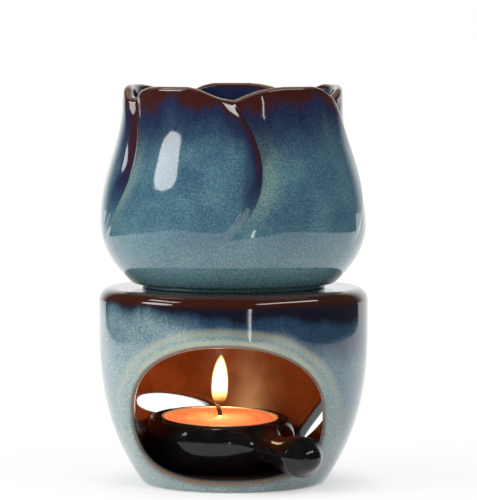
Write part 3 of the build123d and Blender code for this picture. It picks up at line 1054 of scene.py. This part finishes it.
def petal_columns():
    """Shares across a petal, closer together near its two edges."""
    left_count, middle_count, right_count = PETAL_COLUMNS
    left = PETAL_LEFT_SHARE * np.linspace(0, 1, left_count) ** CROWDING
    middle = np.linspace(*PETAL_MIDDLE_SHARES, middle_count)
    right = np.linspace(PETAL_RIGHT_SHARE, 1, right_count)
    return np.concatenate([left, middle, right])


def bowl_rows(share, s):
    """One petal's rows, from under the foot, up the outside, over the lip and down to the floor.

    Each row holds the radius, the height, the drop below the rim and 1 inside or 0 outside.
    """
    rim = rim_height(share, s)
    half = s.wall / 2
    floor = BOWL_FOOT_DEPTH + BOWL_BOTTOM
    rows = []

    def add_row(radius, height, drop, inner):
        ones = np.ones_like(share)
        rows.append([radius * ones, height * ones, drop * ones, inner * ones])

    foot_inner = BOWL_FOOT_RADIUS - BOWL_FOOT_WIDTH
    foot_round = BOWL_FOOT_DEPTH / 2
    for radius in np.linspace(0, foot_inner - foot_round, BOWL_ROWS["recess"]):
        add_row(radius, BOWL_FOOT_DEPTH, BOWL_HEIGHT, 0)
    for angle in np.linspace(0, math.pi / 2, BOWL_ROWS["foot"]):
        add_row(foot_inner - foot_round * math.cos(angle) + foot_round * 0.5,
                foot_round * (1 - math.sin(angle)), BOWL_HEIGHT, 0)
    for angle in np.linspace(0, math.pi / 2, BOWL_ROWS["foot"]):
        add_row(BOWL_FOOT_RADIUS - foot_round * (1 - math.sin(angle)),
                foot_round * (1 - math.cos(angle)), BOWL_HEIGHT, 0)
    add_row(BOWL_FOOT_RADIUS, BOWL_FOOT_DEPTH, BOWL_HEIGHT, 0)

    lip_start = rim - half * (1 - math.sin(s.lean))
    for step in np.linspace(0, 1, BOWL_ROWS["side"]):
        height = BOWL_FOOT_DEPTH + (lip_start - BOWL_FOOT_DEPTH) * step
        add_row(outer_radius(share, height, s) - lean_draw(rim - height, s), height, rim - height, 0)
    lip_outer = outer_radius(share, lip_start, s) - lean_draw(rim - lip_start, s)
    lip_inner = inner_radius(share, rim - half, s)
    reach = (lip_outer - lip_inner) / (1 + math.cos(s.lean))
    middle = lip_inner + reach
    for angle in np.linspace(s.lean, math.pi, BOWL_ROWS["lip"])[1:-1]:
        add_row(middle + reach * math.cos(angle), rim - half + half * math.sin(angle),
                half * (1 - math.sin(angle)), 0.5)
    for step in np.linspace(1, 0, BOWL_ROWS["hollow"]):
        height = floor + (rim - half - floor) * step ** CROWDING
        add_row(inner_radius(share, height, s), height, rim - height, 1)
    floor_radius = inner_radius(share, np.array(floor), s)
    for step in np.linspace(1, 0, BOWL_ROWS["floor"])[1:]:
        add_row(floor_radius * step, floor, BOWL_HEIGHT, 1)
    return [np.concatenate(part) for part in zip(*rows)]


def make_bowl(s):
    """One petal with its share of the floor and foot, repeated round the bowl."""
    share = petal_columns()[None, :]
    radius, height, drop, inner = bowl_rows(share, s)
    turn = petal_turn_at(height) + 2 * math.pi / s.petals * share
    points = np.stack([radius * np.sin(turn), -radius * np.cos(turn), BOWL_BASE + height], axis=-1)
    faces = grid_faces(*radius.shape)
    piece = new_piece("tulip_bowl", points.reshape(-1, 3), faces, bowl_glaze(s))
    width = 2 * math.pi * radius / s.petals
    paint_attribute(piece, "rim_drop", drop)
    paint_attribute(piece, "height", height)
    paint_attribute(piece, "inside", inner)
    paint_attribute(piece, "from_left", width * share + inner * BOWL_RADIUS)
    paint_attribute(piece, "to_right", width * (1 - share) + inner * BOWL_RADIUS)
    repeat_round(piece, s.petals, s.wall / 400)
    seat(piece, "bowl", "bowl_glaze", "oil_bowl")


# Ladle


def smooth_line(points, steps):
    """Even curve through a few points."""
    points = np.array(points)
    padded = np.concatenate([[2 * points[0] - points[1]], points, [2 * points[-1] - points[-2]]])
    line = []
    for number in range(len(points) - 1):
        before, start, end, after = padded[number:number + 4]
        bend = 2 * before - 5 * start + 4 * end - after
        twist = 3 * start - before - 3 * end + after
        for step in np.linspace(0, 1, steps, endpoint=False):
            rise = (end - before) * step + bend * step ** 2 + twist * step ** 3
            line.append(start + rise / 2)
    line.append(points[-1])
    return line


def dish_sag(radius):
    """How far the dish's rounded underside has risen at a radius."""
    return DISH_ROUND_RADIUS - math.sqrt(DISH_ROUND_RADIUS ** 2 - radius ** 2)


def dish_profile():
    """Side line of the dish, from the middle of its underside round to the middle of its well."""
    well_floor = DISH_HEIGHT - DISH_WELL_DEPTH
    under = [(radius, dish_sag(radius))
             for radius in np.linspace(0, DISH_HEEL_RADIUS, DISH_STEPS, endpoint=False)]
    side = [
        (DISH_HEEL_RADIUS, dish_sag(DISH_HEEL_RADIUS)),
        (DISH_FLANK_RADIUS, DISH_FLANK_HEIGHT),
        (DISH_RADIUS, DISH_BELLY),
        (DISH_MOUTH_RADIUS + DISH_LIP, DISH_HEIGHT),
        (DISH_MOUTH_RADIUS, DISH_HEIGHT - DISH_LIP),
        (DISH_WELL_RADIUS, DISH_BELLY),
    ]
    well = [(DISH_WELL_RADIUS, well_floor), (0.0, well_floor)]
    return np.array(under + smooth_line(side, DISH_STEPS) + well)


def profile_distance(radius, height, profile):
    """Distance from a closed outline in the plane of radius and height, less than zero inside."""
    starts = profile
    ends = np.roll(profile, -1, axis=0)
    nearest = np.full(np.broadcast(radius, height).shape, np.inf)
    inside = np.zeros(nearest.shape, bool)
    for (r0, z0), (r1, z1) in zip(starts, ends):
        dr = r1 - r0
        dz = z1 - z0
        span = dr * dr + dz * dz
        along = np.clip(((radius - r0) * dr + (height - z0) * dz) / span, 0, 1)
        if r0 + r1 > 0:
            aside = radius - r0 - along * dr
            above = height - z0 - along * dz
            nearest = np.minimum(nearest, aside ** 2 + above ** 2)
        if dz != 0:
            crosses = ((z0 > height) != (z1 > height)) & (radius < dr * (height - z0) / dz + r0)
            inside ^= crosses
    return np.where(inside, -1, 1) * np.sqrt(nearest)


def ladle_place():
    """Where the ladle stands on the stove's floor, tipped towards its handle."""
    rise = DISH_ROUND_RADIUS * (1 - math.cos(LADLE_PITCH) * math.cos(LADLE_ROLL))
    stand = Matrix.Translation((*DISH_PLACE, STOVE_FLOOR + LADLE_GAP + rise))
    return stand @ Matrix.Rotation(LADLE_PITCH, 4, "X") @ Matrix.Rotation(LADLE_ROLL, 4, "Y")


def placed(points, place):
    """Points moved by a matrix."""
    matrix = np.array(place)
    return points @ matrix[:3, :3].T + matrix[:3, 3]


def make_ladle(s):
    """Dish, neck and knob in one body, tipped as it stands in the stove."""
    profile = dish_profile()
    turn = HANDLE_TURN - math.pi / 2
    knob_middle = HANDLE_REACH - KNOB_LENGTH / 2
    start = DISH_MOUTH_RADIUS

    def field(x, y, z):
        dish = profile_distance(np.hypot(x, y), z, profile)
        out = math.cos(turn) * x + math.sin(turn) * y
        aside = math.cos(turn) * y - math.sin(turn) * x
        up = z - HANDLE_HEIGHT
        neck = oval_distance(aside, up, NECK_WIDTH / 2, NECK_THICKNESS / 2, PLAIN_OVAL)
        neck = np.maximum(neck, np.maximum(start - out, out - knob_middle))
        size = np.sqrt(((out - knob_middle) / KNOB_LENGTH) ** 2 + (aside / KNOB_WIDTH) ** 2
                       + (up / KNOB_THICKNESS) ** 2)
        knob = (size - 0.5) * KNOB_THICKNESS
        handle = smooth_join(neck, knob, s.blend)
        return smooth_join(dish, handle, s.blend)

    reach = HANDLE_REACH + s.blend
    low = (-DISH_RADIUS, -reach, 0)
    high = (reach, DISH_RADIUS, DISH_HEIGHT + DISH_LIP)
    points, faces = net_surface(field, low, high, s.cell)
    place = ladle_place()
    turned = np.array(place)[:3, :3]
    normals = gradient_of(field, points, s.cell / 4) @ turned.T
    piece = new_piece("ladle_body", placed(points, place), faces, ladle_glaze(s), normals)
    seat(piece, "ladle", "ladle_glaze", "candle_ladle")


# Tealight


def tealight_place():
    """Where the tealight stands in the ladle's well."""
    return ladle_place() @ Matrix.Translation((0, 0, DISH_HEIGHT - DISH_WELL_DEPTH))


def turned_sector(name, profile, count, material, ripple=None):
    """One of count equal sectors of a turned shape; ripple shifts the radius across the sector."""
    across = np.linspace(0, 1, SECTOR_COLUMNS)[None, :]
    radius, height = [np.array(part)[:, None] * np.ones_like(across) for part in zip(*profile)]
    if ripple is not None:
        radius = radius + ripple(height, across)
    turn = 2 * math.pi / count * across
    points = np.stack([radius * np.cos(turn), radius * np.sin(turn), height], axis=-1)
    return new_piece(name, points.reshape(-1, 3), grid_faces(*radius.shape), material)


def make_cup(s):
    """Thin cup with fluted sides and a rolled rim."""
    inside = CUP_RADIUS - CUP_WALL
    middle = CUP_RADIUS * CUP_FLAT_SHARE
    outline = [
        (0.0, 0.0),
        (middle, 0.0),
        (CUP_RADIUS - CUP_HEEL, 0.0),
        (CUP_RADIUS - CUP_HEEL_MIDDLE[0], CUP_HEEL_MIDDLE[1]),
        (CUP_RADIUS, CUP_HEEL),
    ]
    outline += [(CUP_RADIUS, height) for height in np.linspace(*FLUTE_ROWS)]
    fluted = len(outline)
    outline += [(CUP_RADIUS, height) for height in PLAIN_ROWS]
    outline += [(CUP_RADIUS + s.bead * math.sin(turn), CUP_HEIGHT - s.bead * math.cos(turn))
                for turn in np.linspace(*BEAD_ROWS)]
    outline += [(inside, height) for height in np.linspace(*HOLLOW_ROWS)]
    outline += [(inside - CUP_CORNER, CUP_WALL), (middle, CUP_WALL), (0.0, CUP_WALL)]

    def flutes(height, across):
        between = (height > FLUTES_START) & (height < CUP_HEIGHT - FLUTES_END)
        outer = np.arange(len(outline))[:, None] < fluted
        return -s.rib_depth * (1 - np.cos(2 * math.pi * across)) / 2 * between * outer

    piece = turned_sector("tealight_tin", outline, s.ribs, cup_metal(s), flutes)
    repeat_round(piece, s.ribs, CUP_WALL / 40)
    piece.data.transform(tealight_place())
    seat(piece, "tealight", "cup_metal", "tealight_cup")


def make_wax(s):
    """Wax with a melted pool round the wick and a film that climbs the cup's wall."""
    outer = CUP_RADIUS - CUP_WALL - s.seam
    top = CUP_HEIGHT - s.brim
    outline = [(0.0, CUP_WALL), (outer / 2, CUP_WALL), (outer, CUP_WALL), (outer, top / 2), (outer, top)]
    film = WAX_FILM_SHARES[1]
    flat, slope = WAX_DIP_SHARES
    for share in np.concatenate([np.linspace(*WAX_FILM_SHARES), np.linspace(*WAX_POOL_SHARES)]):
        rim = max(0.0, (share - film) / (1 - film))
        dip = s.pool_depth * (1 - rim ** 2) * (flat + slope * share)
        away = max(0.0, share * outer - WICK_RADIUS) / s.mound
        outline.append((outer * share, top - dip + s.mound * math.exp(-away * away)))
    piece = turned_sector("candle_wax", outline, WAX_SECTORS, candle_wax(s))
    repeat_round(piece, WAX_SECTORS, CUP_WALL / 40)
    points = np.array([vertex.co for vertex in piece.data.vertices])
    wet, fade = WAX_WET_SHARES
    pool = (outer * wet - np.hypot(points[:, 0], points[:, 1])) / (outer * fade)
    paint_attribute(piece, "pool", np.clip(pool, 0, 1))
    piece.data.transform(tealight_place())
    seat(piece, "tealight", "wax", "tealight_wax")


def make_wick(s):
    """Twisted strands that stand out of the wax, leaning a little and charred at the tip."""
    top = CUP_HEIGHT - WAX_DROP + WICK_STAND
    strand = WICK_RADIUS * STRAND_SHARE
    offset = WICK_RADIUS - strand
    rows = np.linspace(0, 1, WICK_ROWS)
    around = np.linspace(0, 2 * math.pi, WICK_COLUMNS)
    points = []
    for share in rows:
        twist = share * WICK_TWIST
        tip = max(0.0, (share - 1 + TIP_SHARE) / TIP_SHARE)
        size = strand * (1 - TIP_TAPER_SHARE * tip ** 2)
        if share in (rows[0], rows[-1]):
            size = 0.0
        height = WICK_FOOT + (top - WICK_FOOT) * share
        for turn in around:
            points.append((offset * math.cos(twist) + size * math.cos(turn),
                           offset * math.sin(twist) + size * math.sin(turn), height))
    faces = grid_faces(len(rows), len(around))[:, ::-1]
    piece = new_piece("candle_wick", points, faces, charred_wick(s))
    repeat_round(piece, s.strands, WICK_RADIUS / 200)
    shape = np.array([vertex.co for vertex in piece.data.vertices])
    stand = np.clip((shape[:, 2] - top + WICK_STAND) / WICK_STAND, 0, 1)
    shape[:, 0] -= WICK_LEAN * stand ** 2
    piece.data.vertices.foreach_set("co", shape.ravel())
    paint_attribute(piece, "tip", stand)
    piece.data.transform(tealight_place())
    seat(piece, "tealight", "wick_cotton", "wick")


# Flame


def flame_radius(rise, width):
    """Radius of the flame at a share of its height."""
    low = np.clip(1 - rise / FLAME_BULGE_SHARE, 0, 1)
    high = np.clip((rise - FLAME_BULGE_SHARE) / (1 - FLAME_BULGE_SHARE), 0, 1)
    foot = np.sqrt(1 - low ** FLAME_FULLNESS)
    return width / 2 * foot * (1 - high ** FLAME_FULLNESS) ** FLAME_TAPER


def make_flame_layer(s, name, material, share, foot):
    """Closed drop of flame at a share of the flame's size."""
    around = np.linspace(0, 2 * math.pi, FLAME_COLUMNS)
    rise = np.linspace(0, 1, FLAME_ROWS)[:, None] * np.ones((1, len(around)))
    radius = flame_radius(rise, s.width) * share
    height = s.height * (0.5 + (rise - 0.5) * (0.5 + share / 2))
    x = foot.x + FLAME_LEAN * rise ** 2 + radius * np.cos(around)
    points = np.stack([x, foot.y + radius * np.sin(around), foot.z + height], axis=-1)
    piece = new_piece(name, points.reshape(-1, 3), grid_faces(*rise.shape)[:, ::-1], material)
    paint_attribute(piece, "rise", rise)
    merge_points(piece, s.width / 1000)
    piece.visible_shadow = False
    seat(piece, "tealight", None)


def make_flame(s):
    """Two glowing layers and the lamp that they stand for."""
    foot = tealight_place() @ Vector((FLAME_SHIFT, 0, CUP_HEIGHT - WAX_DROP + s.lift))
    heart = flame_layer("Flame heart", s.mantle, s.heart, HEART_GLOW, HEART_CLEAR_SHARES)
    mantle = flame_layer("Flame mantle", s.mantle, FLAME_TOP, MANTLE_GLOW, MANTLE_CLEAR_SHARES)
    make_flame_layer(s, "flame_heart", heart, FLAME_HEART_SHARE, foot)
    make_flame_layer(s, "flame_mantle", mantle, 1.0, foot)
    lamp = bpy.data.lights.new("flame_lamp", "POINT")
    lamp.color = s.light
    lamp.energy = s.power
    lamp.shadow_soft_size = s.width / 3
    holder = bpy.data.objects.new("flame_lamp", lamp)
    holder.location = foot + Vector((0, 0, s.height / 2))
    bpy.context.scene.collection.objects.link(holder)
    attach(holder, "tealight")


def merge_points(piece, distance):
    """Joins points that lie together, such as a seam or a pole."""
    shape = bmesh.new()
    shape.from_mesh(piece.data)
    bmesh.ops.remove_doubles(shape, verts=shape.verts, dist=distance)
    bmesh.ops.recalc_face_normals(shape, faces=shape.faces)
    shape.to_mesh(piece.data)
    shape.free()


# Stage


def softbox(name, brightness, shape="RECTANGLE", mirrored=True):
    """Lamp with an even face that points at the stove's top, seen or not seen in reflections."""
    direction, distance, size = LAMPS[name]
    lamp = bpy.data.lights.new(name, "AREA")
    lamp.shape = shape
    lamp.size, lamp.size_y = size
    lamp.energy = brightness * math.pi * size[0] * size[1]
    holder = bpy.data.objects.new(name, lamp)
    away = Vector(direction).normalized()
    holder.location = Vector((0, 0, STOVE_HEIGHT)) + away * distance
    holder.rotation_euler = away.to_track_quat("Z", "Y").to_euler()
    holder.visible_glossy = mirrored
    bpy.context.scene.collection.objects.link(holder)


def make_surroundings(s):
    """World that is white to the camera, and white behind and darker in front in reflections."""
    world = bpy.data.worlds.new("Studio")
    bpy.context.scene.world = world
    world.use_nodes = True
    nodes = world.node_tree.nodes
    link = world.node_tree.links.new
    back = nodes["Background"]
    back.inputs["Color"].default_value = (1, 1, 1, 1)
    rays = nodes.new("ShaderNodeLightPath")
    direction = nodes.new("ShaderNodeSeparateXYZ")
    link(nodes.new("ShaderNodeTexCoord").outputs["Generated"], direction.inputs[0])
    mirrored = nodes.new("ShaderNodeMapRange")
    mirrored.interpolation_type = "SMOOTHSTEP"
    mirrored.inputs["From Min"].default_value = WHITE_BACK_SHARES[0]
    mirrored.inputs["From Max"].default_value = WHITE_BACK_SHARES[1]
    mirrored.inputs["To Min"].default_value = s.mirrored
    link(direction.outputs["Y"], mirrored.inputs["Value"])
    level = s.world
    brightness = {
        "Is Camera Ray": 1.0,
        "Is Transmission Ray": 1.0,
        "Is Glossy Ray": mirrored.outputs[0],
    }
    for kind, bright in brightness.items():
        part = nodes.new("ShaderNodeMix")
        for place, value in ((0, rays.outputs[kind]), (2, level), (3, bright)):
            if isinstance(value, float):
                part.inputs[place].default_value = value
            else:
                link(value, part.inputs[place])
        level = part.outputs[0]
    link(level, back.inputs["Strength"])


def make_stage(s):
    """Lamps, white surroundings, floor and camera."""
    softbox("left_softbox", s.key, "ELLIPSE")
    softbox("left_wash", s.wash, mirrored=False)
    softbox("right_wash", s.dim, mirrored=False)
    softbox("right_softbox", s.fill)
    softbox("top_softbox", s.top)
    softbox("front_strip", s.front)
    make_surroundings(s)
    make_floor(s)
    make_camera(s)
    bpy.context.scene.view_settings.view_transform = "Standard"


def make_floor(s):
    """Table before and beside the burner that widens to a floor behind it."""
    near = s.table
    far = FLOOR_REACH
    corners = [(-near, -near, 0), (near, -near, 0), (near, near, 0), (far, far, 0), (-far, far, 0),
               (-near, near, 0)]
    floor = new_piece("floor", corners, [range(len(corners))], floor_finish(s))


def make_camera(s):
    """Camera a little above the burner, turned towards it."""
    camera = bpy.data.objects.new("camera", bpy.data.cameras.new("camera"))
    camera.data.lens = s.lens
    camera.data.clip_start = CAMERA_NEAR
    right = Vector((math.cos(s.azimuth), math.sin(s.azimuth), 0))
    away = Vector((math.sin(s.azimuth), -math.cos(s.azimuth), 0))
    camera.location = away * s.distance + Vector((0, 0, s.height))
    aim = right * s.aim_right + Vector((0, 0, s.aim_height))
    camera.rotation_euler = (camera.location - aim).to_track_quat("Z", "Y").to_euler()
    bpy.context.scene.collection.objects.link(camera)
    bpy.context.scene.camera = camera


# Operators


class BuildStove(Operator):
    """Builds the stove"""
    bl_idname = "oil_burner.stove"
    bl_label = "Stove"

    def execute(self, context):
        make_stove(context.scene.burner_stove)
        return {"FINISHED"}


class BuildBowl(Operator):
    """Builds the petalled oil bowl"""
    bl_idname = "oil_burner.bowl"
    bl_label = "Oil bowl"

    def execute(self, context):
        make_bowl(context.scene.burner_bowl)
        return {"FINISHED"}


class BuildLadle(Operator):
    """Builds the ladle that carries the tealight"""
    bl_idname = "oil_burner.ladle"
    bl_label = "Ladle"

    def execute(self, context):
        make_ladle(context.scene.burner_ladle)
        return {"FINISHED"}


class BuildTealight(Operator):
    """Builds the tealight's cup, wax and wick"""
    bl_idname = "oil_burner.tealight"
    bl_label = "Tealight"

    def execute(self, context):
        settings = context.scene.burner_tealight
        make_cup(settings)
        make_wax(settings)
        make_wick(settings)
        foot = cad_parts["wick_sustainer"]
        foot.data.materials.clear()
        foot.data.materials.append(sustainer_metal())
        return {"FINISHED"}


class BuildFlame(Operator):
    """Builds the flame and its lamp"""
    bl_idname = "oil_burner.flame"
    bl_label = "Flame"

    def execute(self, context):
        make_flame(context.scene.burner_flame)
        return {"FINISHED"}


class BuildStage(Operator):
    """Sets the floor, the lamps and the camera"""
    bl_idname = "oil_burner.stage"
    bl_label = "Stage"

    def execute(self, context):
        make_stage(context.scene.burner_stage)
        return {"FINISHED"}


OPERATORS = (BuildStove, BuildBowl, BuildLadle, BuildTealight, BuildFlame, BuildStage)
SETTINGS = {
    "burner_stove": StoveSettings,
    "burner_bowl": BowlSettings,
    "burner_ladle": LadleSettings,
    "burner_tealight": TealightSettings,
    "burner_flame": FlameSettings,
    "burner_stage": StageSettings,
}


class BurnerPanel(Panel):
    """Lists the burner's settings and build steps"""
    bl_idname = "VIEW3D_PT_oil_burner"
    bl_label = "Oil burner"
    bl_space_type = "VIEW_3D"
    bl_region_type = "UI"
    bl_category = "Oil burner"

    def draw(self, context):
        for name, operator in zip(SETTINGS, OPERATORS):
            settings = getattr(context.scene, name)
            box = self.layout.box()
            box.operator(operator.bl_idname)
            for field in SETTINGS[name].__annotations__:
                box.prop(settings, field)


def register():
    for settings in SETTINGS.values():
        bpy.utils.register_class(settings)
    for name, settings in SETTINGS.items():
        setattr(bpy.types.Scene, name, PointerProperty(type=settings))
    for operator in OPERATORS:
        bpy.utils.register_class(operator)
    bpy.utils.register_class(BurnerPanel)


def unregister():
    bpy.utils.unregister_class(BurnerPanel)
    for operator in OPERATORS:
        bpy.utils.unregister_class(operator)
    for name, settings in SETTINGS.items():
        delattr(bpy.types.Scene, name)
        bpy.utils.unregister_class(settings)


def main():
    register()
    bpy.ops.oil_burner.stove()
    bpy.ops.oil_burner.bowl()
    bpy.ops.oil_burner.ladle()
    bpy.ops.oil_burner.tealight()
    bpy.ops.oil_burner.flame()
    bpy.ops.oil_burner.stage()


if __name__ == "__main__":
    main()
